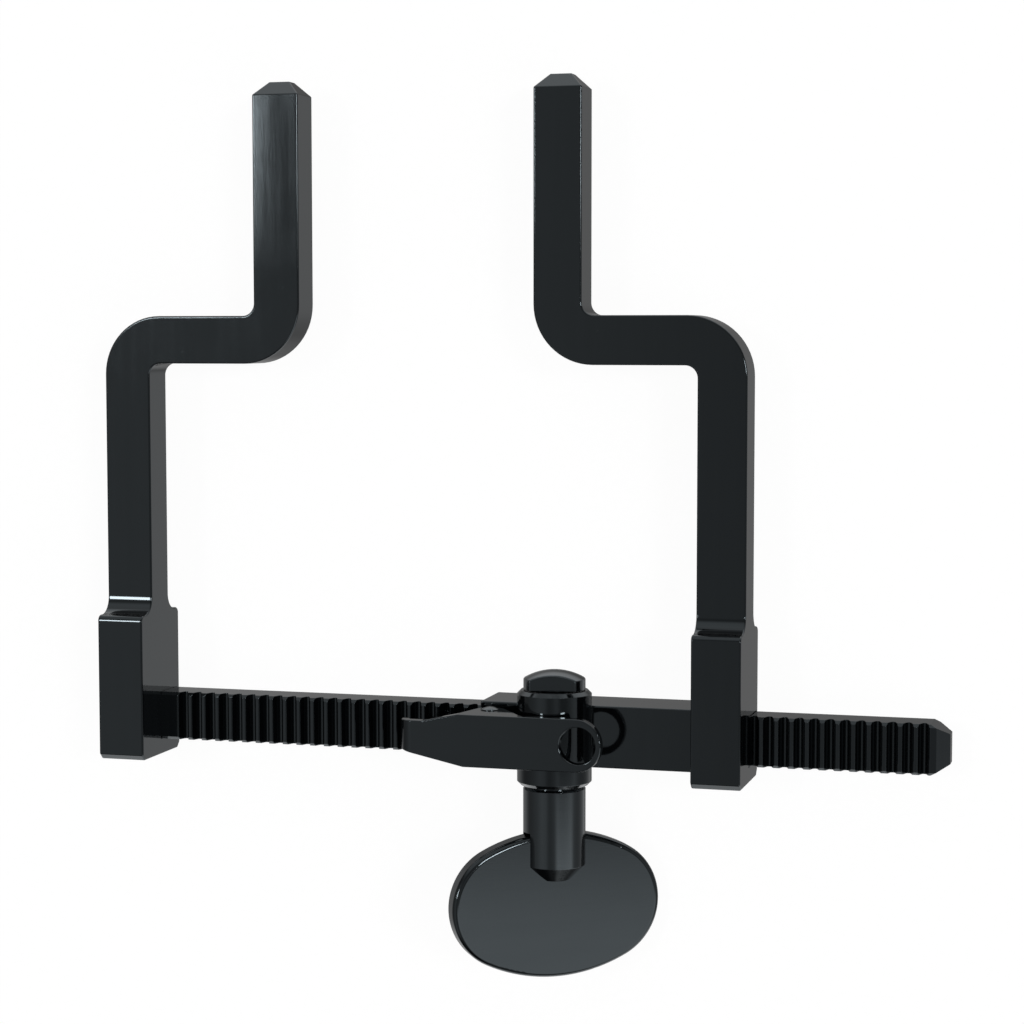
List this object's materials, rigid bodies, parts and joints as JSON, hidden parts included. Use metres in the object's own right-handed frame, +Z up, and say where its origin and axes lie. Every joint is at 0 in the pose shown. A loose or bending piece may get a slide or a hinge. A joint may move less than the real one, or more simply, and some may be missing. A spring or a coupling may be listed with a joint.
{
  "type": "self retaining retractor",
  "caption": "Self retaining surgical retractor: a fixed arm and a rack-and-pinion driven arm spread along a toothed bar, held by a sprung pawl lever.",
  "frame": {"origin": "point on the plane the instrument lies on, under the middle of its overall box", "axes": "+X along the toothed bar to its free end, +Y from the bar to the prong tips, +Z up, out of the toothed front"},
  "size_m": [0.1448, 0.1492, 0.0226],
  "materials": {
    "black_coat": "smooth glossy black hard coat on steel",
    "bare_steel": "ground steel"
  },
  "bodies": {
    "bar_body": {"rack_bar": "black_coat", "fixed_arm": "black_coat", "bar_lock_pins": "bare_steel"},
    "slider": {"moving_arm": "black_coat", "pinion_housing": "black_coat", "housing_pins": "bare_steel"},
    "pinion": {"pinion_shaft": "black_coat", "cap_screw": "black_coat", "key_plate": "black_coat"},
    "pawl": {"pawl_lever": "black_coat", "pawl_pivot_pin": "black_coat", "pawl_spring": "bare_steel"}
  },
  "joints": [
    {"name": "arm_slide", "type": "slide", "parent": "bar_body", "child": "slider", "axis": [1, 0, 0], "range_m": [-0.04021, 0.02765]},
    {"name": "pinion_spin", "type": "hinge", "parent": "slider", "child": "pinion", "pos_m": [0.00793, 0, 0.01136], "axis": [0, 1, 0], "range_deg": [-577, 397]},
    {"name": "pawl_pivot", "type": "hinge", "parent": "slider", "child": "pawl", "pos_m": [-0.00255, 0, 0.0135], "axis": [0, 1, 0], "range_deg": [-7, 3], "stiffness_Nm_per_rad": 0.02}
  ],
  "couplings": [
    {"joint": "pinion_spin", "follows": "arm_slide", "rad_per_m": 250}
  ]
}
